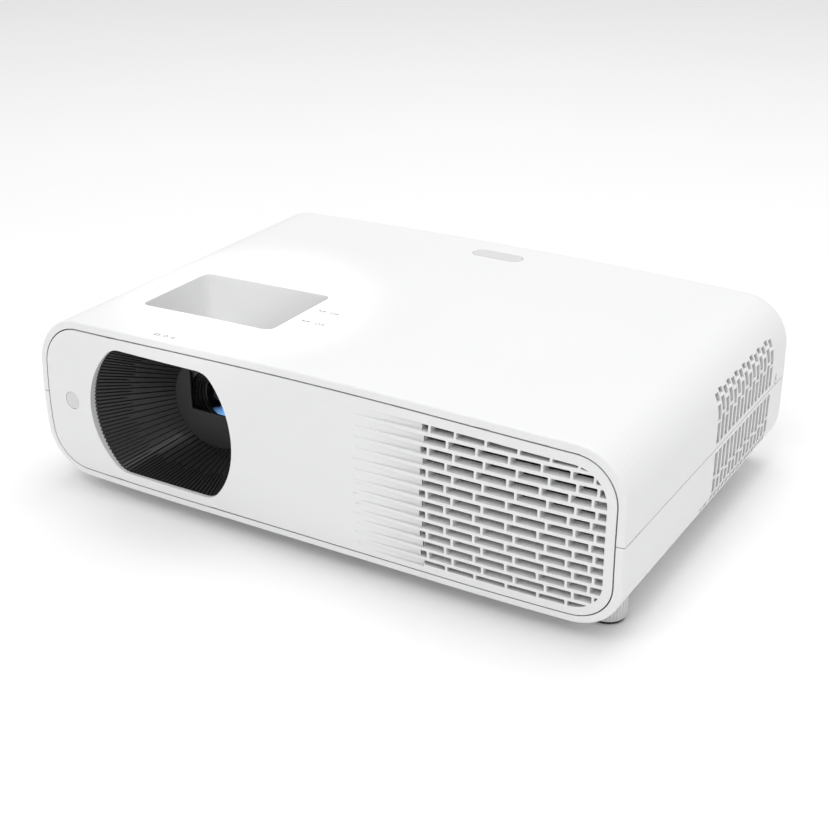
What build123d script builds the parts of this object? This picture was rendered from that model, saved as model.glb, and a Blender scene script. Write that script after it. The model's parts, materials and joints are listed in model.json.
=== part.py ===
"""Home projector: an assembly of separate pieces, in millimetres.

Frame: origin at the centre of the underside of the feet, +Z up, the front faces -Y, and the lens
is on the -X side.
"""
from math import asin, cos, pi, radians, sin, sqrt
import os

from build123d import *

# ---------------------------------------------------------------- driving dimensions
WIDTH = 420.0
DEPTH = 288.0
HEIGHT = 127.0
FRONT = -DEPTH / 2
BACK = DEPTH / 2

WALL = 2.6                      # case wall
LIP = 5.2                       # visible rim of the case around the front panel
PANEL_GAP = 0.7                 # groove between the rim and the front panel
SEAM_Z = 69.6                   # where the upper and lower case meet
SEAM_GAP = 0.3
CASE_BOTTOM = 11.9              # underside of the lower case above the table
PANEL_TOP = HEIGHT - LIP        # outline of the groove at the middle of the front
PANEL_SHOULDER = 117.6          # the same outline, where the crown meets the sides
PANEL_BOTTOM = CASE_BOTTOM + LIP
PANEL_HALF = WIDTH / 2 - LIP
SIDE_BULGE = 0.7
TOP_CORNER = 28.0
BOTTOM_CORNER = 26.0
REAR_ROUND = 12.0
LIP_ROUND = 1.8
PILLOW_MID_Z = 68.0             # the front bows forwards, foremost at this height
PILLOW_RADIUS_V = 323.5
LIP_DEPTH = 6.0                 # how far the rim reaches back before the case opens out
REAR_OPEN_X = 165.0
REAR_OPEN_Z = (29.0, 93.0)
REAR_LAP = 3.0

PANEL_SKIN = 2.8
GRILLE_DEPTH = 7.0
ROWS = 14
ROW_PITCH = 6.794
ROW_TOP = 114.9                 # upper edge of the first row of slots
SLOT_HEIGHT = 4.5
GRILLE_LEFT = 83.0
GRILLE_LEFT_EVEN = 84.8
GRILLE_INSET = 6.3              # grille stays this far inside the panel's outline
BAR = 1.6
BAR_CENTRE_X = 134.6            # the uprights crowd together away from this place, as if the
BAR_RADIUS = 66.0               # grille's pattern were wrapped round a cylinder of this radius
BAR_STEP = radians(17.7)
BAR_SHIFT = radians(4.6)
FADE_LENGTH = 45.0
FADE_DEPTH = 1.9

EYE_X = -108.5                  # lens opening in the front panel: a circle with flats
EYE_Z = 68.4
EYE_RADIUS = 57.5
EYE_HALF_HEIGHT = 43.8
EYE_WALL = 5.7
EYE_COLLAR = 2.4

LENS_X = -100.0
LENS_Z = 67.5
HOOD_REAR_RADIUS = 31.8
HOOD_WALL = 1.8
PLATE_Y = -97.0
PLATE_THICK = 1.8
APERTURE_X = (-119.0, -81.0)
APERTURE_Z = (60.0, 88.0)

WELL_X = (-160.0, -55.5)        # opening in the top, over the lens rings
WELL_Y = (-92.2, -21.2)
WELL_ROUND = 6.0
WELL_WALL = 1.6
WELL_FLOOR_Z = 58.0

BARREL_RADIUS = 26.0
BARREL_BORE = 22.5
BARREL_Y = (-94.5, -38.0)
TAIL_RADIUS = 20.0
TAIL_BORE = 17.0
TAIL_END_Y = 10.0
RUNNING = 0.05                  # radial clearance of everything that turns or slides on a shaft
FOCUS_Y = (-76.0, -60.0)
FOCUS_RADIUS = 37.5
ZOOM_Y = (-55.0, -41.0)
ZOOM_RADIUS = 30.0
COLLAR_RADIUS = 28.5
END_GAP = 0.4                   # free play beside a ring or a rotor

FRONT_FEET_X = 187.0
REAR_FEET_X = 165.0
FEET_Y = (-102.0, 108.0)
FOOT_RADIUS = 12.0
FOOT_TOP = 17.5
PAD_RADIUS = 10.8
PAD_THICK = 1.7
STUD_RADIUS = 3.0
STUD_TOP = 38.0
POCKET_RADIUS = 13.0
POCKET_ROOF = 18.6
NUT_RADIUS = 5.0

VENT_COLUMNS = 15
VENT_PITCH = 7.14
VENT_FIRST_Y = 4.0
VENT_WIDTH = 5.0
VENT_SLOTS = (                    # heights of the slots in odd and in even columns
    ((33.0, 37.2), (38.6, 48.6), (50.0, 66.6), (72.7, 86.7), (88.2, 98.4), (99.9, 105.6)),
    ((33.0, 37.2), (38.6, 46.6), (48.0, 66.6), (72.7, 90.5), (92.0, 101.6), (103.1, 107.0)))
VENT_STUBS = ((-6.0, 33.0, 35.6), (-12.5, 32.6, 34.8))    # two short slots ahead of the others

ENGINE = ((-150.0, -50.0), (TAIL_END_Y, 85.0), (32.0, 104.0))
ENGINE_WALL = 4.0
FAN_CENTRE = (132.0, 68.0)
FAN_Y = (-132.6, -109.8)
FAN_SIZE = 92.0
SIDE_FAN_X = (-200.0, -180.0)
SIDE_FAN_CENTRE = (50.0, 68.0)
SIDE_FAN_SIZE = 80.0

REAR_FACE = BACK - WALL         # outer face of the rear panel, inside the case's rear opening
REAR_THICK = 2.2
KEY_PAD = (-125.0, 66.0)
KEY_REACH = 12.0
KEY_PROUD = 1.6
POWER_KEY = (-152.0, 66.0)
KEY_CLEAR = 0.4

MOUNT_X = 75.0
MOUNT_Y = (-60.0, 70.0)
INSERT_RADIUS = 3.5
INSERT_BORE = 2.0
INSERT_LENGTH = 10.0

SCREW_PLACES = [(-190, -124), (190, -124), (-190, 131), (190, 131), (30, -126), (95, 126)]
BOSS_RADIUS = 4.6
SCREW_RADIUS = 1.5
SCREW_HEAD = 2.9

nodes = {}


# ---------------------------------------------------------------- small helpers
def block(x, y, z):
    """A box from its (low, high) spans along X, Y and Z."""
    size = Box(x[1] - x[0], y[1] - y[0], z[1] - z[0])
    return Pos((x[0] + x[1]) / 2, (y[0] + y[1]) / 2, (z[0] + z[1]) / 2) * size


def rod_x(y, z, x, radius):
    """A round bar along X, over the span x."""
    return Pos((x[0] + x[1]) / 2, y, z) * Rot(0, 90, 0) * Cylinder(radius, x[1] - x[0])


def rod_y(x, z, y, radius):
    """A round bar along Y, over the span y."""
    return Pos(x, (y[0] + y[1]) / 2, z) * Rot(90, 0, 0) * Cylinder(radius, y[1] - y[0])


def rod_z(x, y, z, radius):
    """A round bar along Z, over the span z."""
    return Pos(x, y, (z[0] + z[1]) / 2) * Cylinder(radius, z[1] - z[0])


def facing(y):
    """A drawing plane at this depth that looks forwards: its axes are +X and +Z."""
    return Plane(origin=(0, y, 0), x_dir=(1, 0, 0), z_dir=(0, -1, 0))


def slab(sketch, y):
    """A drawing in X and Z given thickness over the span y."""
    return extrude(facing(y[1]) * sketch, amount=y[1] - y[0])


def group(pieces):
    """Separate solids that share one node."""
    return Compound(children=list(pieces))


# ---------------------------------------------------------------- outlines
def case_outline(grow):
    """The front panel's opening, grown outwards: a crowned top and soft corners."""
    corner_x = PANEL_HALF - SIDE_BULGE + grow
    low_z = PANEL_BOTTOM - grow
    high_z = PANEL_SHOULDER + grow
    mid_z = (low_z + high_z) / 2
    top = ThreePointArc((-corner_x, high_z), (0, PANEL_TOP + grow), (corner_x, high_z))
    right = ThreePointArc((corner_x, high_z), (PANEL_HALF + grow, mid_z), (corner_x, low_z))
    bottom = Line((corner_x, low_z), (-corner_x, low_z))
    left = ThreePointArc((-corner_x, low_z), (-PANEL_HALF - grow, mid_z), (-corner_x, high_z))
    face = make_face([top, right, bottom, left])
    face = fillet(face.vertices().sort_by(Axis.Y)[-2:], TOP_CORNER + grow)
    return fillet(face.vertices().sort_by(Axis.Y)[:2], BOTTOM_CORNER + grow)


def pillow(front):
    """Everything behind a front that bows forwards, foremost at y = front."""
    reach = 90.0
    sag = PILLOW_RADIUS_V - sqrt(PILLOW_RADIUS_V**2 - reach**2)
    low = (front + sag, PILLOW_MID_Z - reach)
    high = (front + sag, PILLOW_MID_Z + reach)
    arc = ThreePointArc(low, (front, PILLOW_MID_Z), high)
    sides = Polyline(high, (BACK + 20, high[1]), (BACK + 20, low[1]), low)
    profile = Plane.YZ * make_face([arc, sides])
    return Pos(-WIDTH, 0, 0) * extrude(profile, 2 * WIDTH)


def eye_outline(grow):
    """The lens opening: a circle cut flat at its top and bottom."""
    circle = Pos(EYE_X, EYE_Z) * Circle(EYE_RADIUS + grow)
    band = Pos(EYE_X, EYE_Z) * Rectangle(4 * EYE_RADIUS, 2 * (EYE_HALF_HEIGHT + grow))
    return circle & band


# ---------------------------------------------------------------- case
def side_vents():
    """Upright slots in both flanks, staggered from column to column."""
    cuts = []
    for column in range(VENT_COLUMNS):
        y = VENT_FIRST_Y + column * VENT_PITCH
        span = (y - VENT_WIDTH / 2, y + VENT_WIDTH / 2)
        for heights in VENT_SLOTS[column % 2]:
            cuts.append(block((-WIDTH, WIDTH), span, heights))
    for y, low, high in VENT_STUBS:
        cuts.append(block((-WIDTH, WIDTH), (y - VENT_WIDTH / 2, y + VENT_WIDTH / 2), (low, high)))
    return cuts


def foot_places():
    """The four feet: name ending and place."""
    places = {}
    for end, x, y in (("front", FRONT_FEET_X, FEET_Y[0]), ("rear", REAR_FEET_X, FEET_Y[1])):
        places[f"{end}_left"] = (-x, y)
        places[f"{end}_right"] = (x, y)
    return places


def case_halves():
    """The upper and lower case, split at the seam."""
    outer = slab(case_outline(LIP), (FRONT - 6, BACK))
    outer = fillet(outer.faces().sort_by(Axis.Y)[-1].edges(), REAR_ROUND)
    outer = outer & pillow(FRONT)
    outer = fillet(outer.faces().sort_by(Axis.Y)[0].edges(), LIP_ROUND)
    cavity = slab(case_outline(LIP - WALL), (FRONT - 6, BACK - WALL))
    cavity = fillet(cavity.faces().sort_by(Axis.Y)[-1].edges(), REAR_ROUND - WALL)
    room = cavity & pillow(FRONT + LIP_DEPTH)
    shell = outer - room - slab(case_outline(0), (FRONT - 6, FRONT + 20))

    rear_hole = block((-REAR_OPEN_X, REAR_OPEN_X), (REAR_FACE - 1, BACK + 1), REAR_OPEN_Z)
    rear_hole = fillet(rear_hole.edges().filter_by(Axis.Y), 5)
    shell = shell - rear_hole
    below = block((-WIDTH, WIDTH), (-DEPTH, DEPTH), (-10, SEAM_Z - SEAM_GAP / 2))
    above = block((-WIDTH, WIDTH), (-DEPTH, DEPTH), (SEAM_Z + SEAM_GAP / 2, HEIGHT + 10))
    lower = shell & below
    upper = shell & above

    tongue = slab(case_outline(LIP - WALL), (FRONT + 30, BACK - 20))
    tongue = tongue - slab(case_outline(LIP - WALL - 1.2), (FRONT + 29, BACK - 19))
    seam_band = block((-WIDTH, WIDTH), (-DEPTH, DEPTH), (SEAM_Z - 1.0, SEAM_Z + 2.0))
    lower = lower + (tongue & seam_band)

    additions = []
    holes = []
    for x, y in foot_places().values():
        additions.append(rod_z(x, y, (CASE_BOTTOM, POCKET_ROOF + 2), POCKET_RADIUS + 2))
        additions.append(rod_z(x, y, (POCKET_ROOF, POCKET_ROOF + 12), NUT_RADIUS + 2.5))
        holes.append(rod_z(x, y, (0, POCKET_ROOF), POCKET_RADIUS))
        holes.append(rod_z(x, y, (POCKET_ROOF - 1, POCKET_ROOF + 3), STUD_RADIUS + 0.5))
        holes.append(rod_z(x, y, (POCKET_ROOF + 2, POCKET_ROOF + 13), NUT_RADIUS))
    for x in (-MOUNT_X, MOUNT_X):
        for y in MOUNT_Y:
            additions.append(rod_z(x, y, (CASE_BOTTOM, CASE_BOTTOM + 12), INSERT_RADIUS + 2.5))
            holes.append(rod_z(x, y, (CASE_BOTTOM - 1, CASE_BOTTOM + INSERT_LENGTH), INSERT_RADIUS))
    for x, y in SCREW_PLACES:
        additions.append(rod_z(x, y, (CASE_BOTTOM, SEAM_Z - SEAM_GAP / 2), BOSS_RADIUS))
        holes.append(rod_z(x, y, (CASE_BOTTOM - 1, 58), SCREW_HEAD + 0.3))
        holes.append(rod_z(x, y, (50, SEAM_Z + 1), SCREW_RADIUS + 0.2))
    for x in (92, 183):
        for y in (-68, 78):
            additions.append(rod_z(x, y, (CASE_BOTTOM, 22.0), 3.4))
    lower = lower + [piece & outer for piece in additions]
    lower = lower - holes

    posts = [rod_z(x, y, (SEAM_Z + SEAM_GAP / 2, HEIGHT), BOSS_RADIUS) for x, y in SCREW_PLACES]
    upper = upper + [post & (outer - slab(case_outline(0), (FRONT - 6, FRONT + LIP_DEPTH)))
                     for post in posts]
    upper = upper - [rod_z(x, y, (SEAM_Z, SEAM_Z + 14), SCREW_RADIUS) for x, y in SCREW_PLACES]

    well = block(WELL_X, WELL_Y, (100, HEIGHT + 5))
    well = fillet(well.edges().filter_by(Axis.Z), WELL_ROUND)
    upper = upper - well
    pill = extrude(Pos(1.4, 109.3, HEIGHT - 12) * SlotOverall(39, 14), 20)
    upper = upper - pill
    nodes["top_ir_window"] = extrude(Pos(1.4, 109.3, HEIGHT - 12) * SlotOverall(38.6, 13.6), 20) \
        & (outer - cavity)

    vents = side_vents()
    upper = upper - vents
    lower = lower - vents
    strip = block((-WIDTH / 2 - 2, -WIDTH / 2 + 2.6), (FRONT + 5.2, FRONT + 8.4), (62.0, 71.5))
    upper = upper - strip
    lower = lower - strip
    nodes["status_light"] = strip & outer
    nodes["upper_case"] = upper
    nodes["lower_case"] = lower
    return outer, room


def front_panel():
    """The front panel: a skin on the pillow, the lens opening with its collar, and the grille."""
    outline = case_outline(-PANEL_GAP)
    deep = (FRONT - 6, FRONT + 30)
    skin = slab(outline, deep) & (pillow(FRONT) - pillow(FRONT + PANEL_SKIN))
    collar = slab(eye_outline(EYE_COLLAR), (FRONT - 6, FRONT + EYE_WALL)) & pillow(FRONT)
    backing = case_outline(-PANEL_GAP - 2.0) & (Pos(160, 60) * Rectangle(160, 140))
    backing = slab(backing, deep) & (pillow(FRONT) - pillow(FRONT + GRILLE_DEPTH))
    panel = skin + collar + backing
    panel = panel - slab(eye_outline(0), deep)
    panel = panel - slab(eye_outline(EYE_COLLAR), (FRONT + EYE_WALL, FRONT + 30))

    window = rod_y(-182.6, EYE_Z, (FRONT - 2, FRONT + 5), 6.1)
    panel = panel - window
    nodes["front_ir_window"] = rod_y(-182.6, EYE_Z, (FRONT - 2, FRONT + 5), 6.0) & (
        pillow(FRONT + 0.4) - pillow(FRONT + 3.2))

    slots = []
    for row in range(1, ROWS + 1):
        top = ROW_TOP - (row - 1) * ROW_PITCH
        shift = BAR_SHIFT if row % 2 == 0 else 0.0
        start = GRILLE_LEFT_EVEN if row % 2 == 0 else GRILLE_LEFT
        uprights = []
        for step in range(-3, 5):
            angle = (step + 0.5) * BAR_STEP - shift
            if abs(angle) < pi / 2:
                uprights.append(BAR_CENTRE_X + BAR_RADIUS * sin(angle))
        uprights = [x for x in uprights if start + 3 < x < PANEL_HALF - GRILLE_INSET - 1]
        edges = [start - BAR / 2] + uprights + [PANEL_HALF]
        for left, right in zip(edges, edges[1:]):
            width = right - left - BAR
            place = Pos((left + right) / 2, top - SLOT_HEIGHT / 2)
            slots.append(place * RectangleRounded(width, SLOT_HEIGHT, 0.7))
    pattern = (Sketch() + slots) & case_outline(-GRILLE_INSET)
    panel = panel - slab(pattern, deep)

    fades = []
    for row in range(1, ROWS + 1):
        top = ROW_TOP - (row - 1) * ROW_PITCH
        middle = top - SLOT_HEIGHT / 2
        face = FRONT + PILLOW_RADIUS_V - sqrt(PILLOW_RADIUS_V**2 - (middle - PILLOW_MID_Z) ** 2)
        end_x = (GRILLE_LEFT_EVEN if row % 2 == 0 else GRILLE_LEFT) + 0.5
        corners = [(end_x - FADE_LENGTH, face), (end_x, face + FADE_DEPTH), (end_x, face - 3),
                   (end_x - FADE_LENGTH, face - 3)]
        wedge = make_face(Polyline(*corners, close=True))
        fades.append(extrude(Pos(0, 0, top - SLOT_HEIGHT) * wedge, SLOT_HEIGHT))
    nodes["front_panel"] = panel - fades


# ---------------------------------------------------------------- lens, hood and well
def flat_circle(radius, half_height, x, z, y):
    """A closed outline of two arcs and two straight edges, at the depth y."""
    half = sqrt(radius**2 - half_height**2)
    corners = [(x - half, z + half_height), (x + half, z + half_height),
               (x + half, z - half_height), (x - half, z - half_height)]
    edges = [Line(corners[0], corners[1]),
             ThreePointArc(corners[1], (x + radius, z), corners[2]),
             Line(corners[2], corners[3]),
             ThreePointArc(corners[3], (x - radius, z), corners[0])]
    return facing(y) * make_face(edges)


def split_circle(radius, x, z, y, lean):
    """A circle made of four arcs, so that it pairs with flat_circle corner by corner."""
    places = [(x + radius * cos(a), z + radius * sin(a)) for a in (pi - lean, lean, -lean, pi + lean)]
    mids = [(x, z + radius), (x + radius, z), (x, z - radius), (x - radius, z)]
    edges = []
    for k in range(4):
        edges.append(ThreePointArc(places[k], mids[k], places[(k + 1) % 4]))
    return facing(y) * make_face(edges)


def hood_body(grow):
    """The funnel from the lens opening back to the round plate."""
    front_y = FRONT + EYE_WALL
    lean = asin(EYE_HALF_HEIGHT / EYE_RADIUS)
    mouth = flat_circle(EYE_RADIUS + grow, EYE_HALF_HEIGHT + grow, EYE_X, EYE_Z, front_y)
    throat = split_circle(HOOD_REAR_RADIUS + grow, LENS_X, LENS_Z, PLATE_Y, lean)
    return loft([mouth, throat], ruled=True)


def lens_hood():
    """The black funnel around the lens, and the plate with the square window at its end."""
    nodes["lens_hood"] = hood_body(HOOD_WALL) - hood_body(0)
    disc = rod_y(LENS_X, LENS_Z, (PLATE_Y, PLATE_Y + PLATE_THICK), HOOD_REAR_RADIUS + HOOD_WALL)
    hole = block(APERTURE_X, (PLATE_Y - 1, PLATE_Y + 3), APERTURE_Z)
    hole = fillet(hole.edges().filter_by(Axis.Y), 1.5)
    nodes["hood_plate"] = disc - hole


def adjustment_well(room):
    """The white tub under the top opening, through which the lens rings are reached."""
    tall = (WELL_FLOOR_Z, HEIGHT)
    inside = block(WELL_X, WELL_Y, tall)
    inside = fillet(inside.edges().filter_by(Axis.Z), WELL_ROUND)
    wide_x = (WELL_X[0] - WELL_WALL, WELL_X[1] + WELL_WALL)
    wide_y = (WELL_Y[0] - WELL_WALL, WELL_Y[1] + WELL_WALL)
    outside = block(wide_x, wide_y, (tall[0] - WELL_WALL, tall[1]))
    outside = fillet(outside.edges().filter_by(Axis.Z), WELL_ROUND + WELL_WALL)
    tub = (outside - inside) & room
    slot = block((LENS_X - FOCUS_RADIUS - 3, LENS_X + FOCUS_RADIUS + 3), WELL_Y, (40, 60))
    front_hole = rod_y(LENS_X, LENS_Z, (wide_y[0] - 1, WELL_Y[0] + 1), BARREL_RADIUS + 0.5)
    rear_hole = rod_y(LENS_X, LENS_Z, (WELL_Y[1] - 1, wide_y[1] + 1), TAIL_RADIUS + 0.5)
    nodes["adjustment_well"] = tub - slot - front_hole - rear_hole


def knurled_ring(radius, bore, y, teeth):
    """A lens ring with a ribbed grip, turning about the lens axis."""
    ring = rod_y(LENS_X, LENS_Z, y, radius)
    ring = chamfer(ring.edges().filter_by(GeomType.CIRCLE), 0.8)
    cuts = []
    for k in range(teeth):
        angle = 2 * pi * k / teeth
        cuts.append(rod_y(LENS_X + radius * cos(angle), LENS_Z + radius * sin(angle),
                          (y[0] + 2.5, y[1] - 2.5), 0.9))
    return ring - cuts - rod_y(LENS_X, LENS_Z, (y[0] - 1, y[1] + 1), bore)


def dome(radius, y, bulge, forwards):
    """A ball whose cap stands bulge proud of the ring of this radius at the depth y."""
    ball = (radius**2 + bulge**2) / (2 * bulge)
    centre = y - bulge + ball if forwards else y + bulge - ball
    return Pos(LENS_X, centre, LENS_Z) * Sphere(ball)


def glass(radius, y, front_bulge, hollow):
    """A lens element whose rim spans y: its front is domed and its back is hollowed."""
    blank = rod_y(LENS_X, LENS_Z, (y[0] - front_bulge, y[1]), radius)
    return (blank & dome(radius, y[0], front_bulge, True)) - dome(radius - 2, y[1], hollow, True)


def lens_assembly():
    """The barrel with its two rings, the sliding cells they drive, and the glass."""
    barrel = rod_y(LENS_X, LENS_Z, BARREL_Y, BARREL_RADIUS)
    barrel = barrel + rod_y(LENS_X, LENS_Z, (BARREL_Y[1] - 1, TAIL_END_Y), TAIL_RADIUS)
    stops = [(FOCUS_Y[0] - END_GAP - 3.5, FOCUS_Y[0] - END_GAP),
             (FOCUS_Y[1] + END_GAP, ZOOM_Y[0] - END_GAP),
             (ZOOM_Y[1] + END_GAP, BARREL_Y[1])]
    for span in stops:
        barrel = barrel + rod_y(LENS_X, LENS_Z, span, COLLAR_RADIUS)
    flange = rod_y(LENS_X, LENS_Z, (TAIL_END_Y - 4, TAIL_END_Y), 32)
    for k in range(4):
        angle = pi / 4 + k * pi / 2
        place = (LENS_X + 27 * cos(angle), LENS_Z + 27 * sin(angle))
        flange = flange - rod_y(*place, (TAIL_END_Y - 5, TAIL_END_Y + 1), 1.7)
    barrel = barrel + flange
    barrel = barrel - rod_y(LENS_X, LENS_Z, (BARREL_Y[0] - 1, BARREL_Y[1] - 4), BARREL_BORE)
    barrel = barrel - rod_y(LENS_X, LENS_Z, (BARREL_Y[1] - 6, TAIL_END_Y + 1), TAIL_BORE)
    nodes["lens_barrel"] = barrel

    bore = BARREL_RADIUS + RUNNING
    nodes["focus_ring"] = knurled_ring(FOCUS_RADIUS, bore, FOCUS_Y, 60)
    nodes["zoom_ring"] = knurled_ring(ZOOM_RADIUS, bore, ZOOM_Y, 48)

    cell = BARREL_BORE - RUNNING
    for name, y, seat, thick in (("focus", (-91.0, -75.0), 18.0, 5.0),
                                 ("zoom", (-63.0, -48.0), 16.0, 4.0)):
        tube = rod_y(LENS_X, LENS_Z, y, cell) - rod_y(LENS_X, LENS_Z, (y[0] - 1, y[1] + 1), seat)
        nodes[f"{name}_cell"] = tube
        start = y[0] + 5
        nodes[f"{name}_lens"] = glass(seat, (start, start + thick), 3.0, 1.5)
    nodes["rear_lens"] = glass(TAIL_BORE, (-8.0, -3.0), 2.5, 1.5)


# ---------------------------------------------------------------- light engine
def light_engine():
    """The optical block behind the lens, with the laser bank, phosphor wheel and heat sink."""
    x, y, z = ENGINE
    wall = ENGINE_WALL
    body = block(x, y, z)
    body = fillet(body.edges().filter_by(Axis.Z), 4)
    body = body - block((x[0] + wall, x[1] - wall), (y[0] + wall, y[1] - wall),
                        (z[0] + wall, z[1] - wall))
    body = body - rod_y(LENS_X, LENS_Z, (y[0] - 1, y[0] + wall + 1), TAIL_BORE)
    body = body - rod_x(45, 62, (x[1] - wall - 1, x[1] + 1), 8)
    nodes["engine_housing"] = body
    nodes["prism"] = block((-116, -84), (34, 64), (51, 83))
    chip = block((-114, -86), (76, 79), (54, 80)) + block((-122, -78), (79, 81), (46, 88))
    nodes["micromirror_chip"] = chip

    motor = rod_x(45, 60, (-26, -12), 12)
    motor = motor + block((-12, -9), (28, 62), (CASE_BOTTOM + 3.5, 76))
    shaft = rod_x(45, 60, (-34, -26), 1.5)
    nodes["wheel_motor"] = motor + shaft
    wheel = rod_x(45, 60, (-31.5, -30), 24) + rod_x(45, 60, (-33, -28), 8)
    nodes["phosphor_wheel"] = wheel - rod_x(45, 60, (-35, -25), 1.5 + RUNNING)

    bank = block((5, 25), (22, 72), (36, 92))
    for row in range(4):
        for column in range(4):
            place = (28 + column * 12.5, 44 + row * 13.5)
            bank = bank + rod_x(*place, (1, 6), 4.5)
    nodes["laser_bank"] = bank
    pipes = []
    for at in (34, 47, 60):
        pipes.append(rod_x(at, 82, (25, 76), 3))
        pipes.append(rod_x(at, 50, (25, 76), 3))
    nodes["heat_pipes"] = group(pipes)
    fins = [block((25, 29), (18, 78), (32, 98))]
    for k in range(16):
        start = 31.5 + k * 2.8
        fins.append(block((start, start + 0.8), (18, 78), (32, 98)))
    tie = block((29, 74.5), (18, 20), (32, 98))
    nodes["laser_heatsink"] = (fins[0] + fins[1:] + tie) - pipes


# ---------------------------------------------------------------- fans and speakers
def fan(size, thick, hub, blades):
    """A fan along Z, from z = 0 up: its square frame and its bladed rotor."""
    duct = size / 2 - 2.5
    frame = extrude(RectangleRounded(size, size, 5), thick)
    frame = frame - rod_z(0, 0, (-1, thick + 1), duct)
    for k in range(4):
        angle = 45 + 90 * k
        frame = frame - Rot(0, 0, angle) * rod_z(size * 0.615, 0, (-1, thick + 1), 2.1)
        spoke = Rot(0, 0, angle + 30) * block((hub - 1, duct + 1), (-1.4, 1.4), (0, 2.4))
        frame = frame + spoke
    frame = frame + rod_z(0, 0, (0, 2.4), hub) + rod_z(0, 0, (0, thick - 4), 2.0)
    rotor = rod_z(0, 0, (3.4, thick - 1.5), hub)
    rotor = fillet(rotor.edges().group_by(Axis.Z)[-1], 1.5)
    tip = duct - 1.0
    blade_height = thick - 8
    for k in range(blades):
        plate = Pos((hub - 1 + tip) / 2, 0, thick / 2) * Rot(48, 0, 0) \
            * Box(tip - hub + 1, blade_height * 1.15, 1.3)
        rotor = rotor + Rot(0, 0, 360 / blades * k) * plate
    rotor = rotor & rod_z(0, 0, (3.4, thick - 1.5), tip)
    rotor = rotor - rod_z(0, 0, (3, thick - 3.0), 2.0 + RUNNING)
    return frame, rotor


def fans():
    """The exhaust fan behind the front grille and the intake fan behind the left flank."""
    frame, rotor = fan(FAN_SIZE, FAN_Y[1] - FAN_Y[0], 17.0, 7)
    place = Plane(origin=(FAN_CENTRE[0], FAN_Y[1], FAN_CENTRE[1]), x_dir=(1, 0, 0), z_dir=(0, -1, 0))
    nodes["exhaust_fan_frame"] = place * frame
    nodes["exhaust_fan_rotor"] = place * rotor
    frame, rotor = fan(SIDE_FAN_SIZE, SIDE_FAN_X[1] - SIDE_FAN_X[0], 15.0, 9)
    place = Plane(origin=(SIDE_FAN_X[1], *SIDE_FAN_CENTRE), x_dir=(0, 1, 0), z_dir=(-1, 0, 0))
    nodes["intake_fan_frame"] = place * frame
    nodes["intake_fan_rotor"] = place * rotor


def speaker():
    """A small boxed loudspeaker at the left, its cone facing the flank."""
    box = block((-196, -170), (-74, -14), (34, 84))
    box = fillet(box.edges().filter_by(Axis.X), 4)
    cone = Pos(-194, -44, 59) * Rot(0, 90, 0) * Cone(21, 8, 9)
    box = box - rod_x(-44, 59, (-197, -194), 22)
    nodes["speaker_box"] = box - rod_x(-44, 59, (-195, -184), 22)
    frame = rod_x(-44, 59, (-194, -184), 22) - rod_x(-44, 59, (-195, -186), 20.5)
    cap = rod_x(-44, 59, (-190, -186), 7)
    nodes["speaker_driver"] = frame + cap + (cone & rod_x(-44, 59, (-189, -186), 12))


# ---------------------------------------------------------------- electronics
def boards():
    """The power board at the right and the main board along the back."""
    nodes["power_board"] = block((85, 190), (-75, 85), (22, 23.6))
    parts = [block((98, 132), (-60, -28), (23.6, 56)), block((140, 176), (-62, -40), (23.6, 46)),
             block((98, 150), (30, 34), (23.6, 60)), block((158, 180), (24, 60), (23.6, 42))]
    for k in range(3):
        parts.append(rod_z(104 + 22 * k, 0, (23.6, 58), 9))
    for k in range(4):
        parts.append(rod_z(152 + 9 * k, 74, (23.6, 36), 3.5))
    nodes["power_parts"] = group(parts)

    nodes["main_board"] = block((-155, 78), (92, 134), (30, 31.6))
    can = block((-100, 20), (96, 118), (31.6, 38)) - block((-99.4, 19.4), (96.6, 117.4), (31, 37.4))
    nodes["board_shield"] = can
    nodes["key_board"] = block((-165, -103), (130, 131.6), (48, 84)) \
        + block((-160, -150), (126, 130), (52, 60))


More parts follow.
